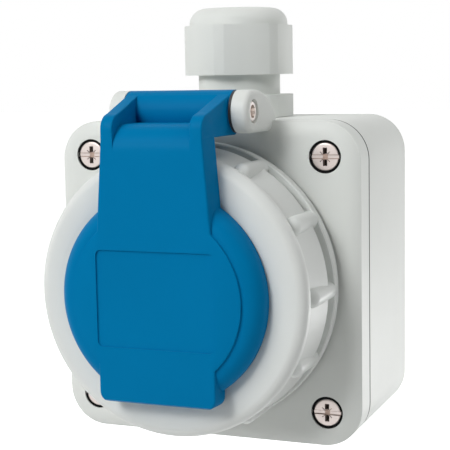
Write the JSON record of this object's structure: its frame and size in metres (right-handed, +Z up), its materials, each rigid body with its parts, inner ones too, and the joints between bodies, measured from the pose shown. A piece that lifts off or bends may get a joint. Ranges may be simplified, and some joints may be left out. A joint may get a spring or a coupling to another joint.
{
  "type": "surface mount power socket",
  "caption": "Square wall-mounted earthed socket outlet with a hinged blue lid, a bayonet locking ring and a cable gland on top.",
  "frame": {"origin": "centre of the enclosure's rear face, which lies on the wall", "axes": "+X right, +Z up towards the cable gland, -Y out of the wall towards the lid"},
  "size_m": [0.0892, 0.0844, 0.1209],
  "materials": {
    "housing_plastic": "fine satin light grey moulding",
    "ring_plastic": "satin light grey moulding",
    "gland_plastic": "satin light grey moulding",
    "lid_plastic": "fine eroded blue moulding",
    "insert_plastic": "satin blue moulding",
    "carrier_plastic": "black moulding",
    "black_rubber": "matt black",
    "grey_rubber": "matt grey",
    "screw_steel": "nickel plated",
    "pin_steel": "stainless",
    "contact_brass": "bright brass",
    "earth_brass": "nickel plated spring strip"
  },
  "bodies": {
    "housing": {"back_box": "housing_plastic", "front_cover": "housing_plastic", "cover_gasket": "grey_rubber", "cover_screws": "screw_steel", "cover_screw_seals": "black_rubber", "hinge_pin": "pin_steel", "socket_insert": "insert_plastic", "insert_gasket": "grey_rubber", "insert_screws": "screw_steel", "line_contact": "contact_brass", "neutral_contact": "contact_brass", "earth_contact": "earth_brass", "contact_carrier": "carrier_plastic", "terminal_screws": "screw_steel", "carrier_screws": "screw_steel", "gland_washer": "gland_plastic", "gland_body": "gland_plastic", "gland_seal": "black_rubber", "gland_nut": "gland_plastic", "gland_locknut": "gland_plastic"},
    "lid": {"lid": "lid_plastic", "lid_retainer": "carrier_plastic", "lid_retainer_screws": "screw_steel", "lid_gasket": "black_rubber"},
    "ring": {"bayonet_ring": "ring_plastic"}
  },
  "joints": [
    {"name": "lid_hinge", "type": "hinge", "parent": "housing", "child": "lid", "pos_m": [0, -0.0633, 0.0476], "axis": [-1, 0, 0], "range_deg": [0, 180]},
    {"name": "ring_turn", "type": "hinge", "parent": "lid", "child": "ring", "pos_m": [0, -0.0686, 0], "axis": [0, 1, 0], "range_deg": [0, 30]}
  ]
}
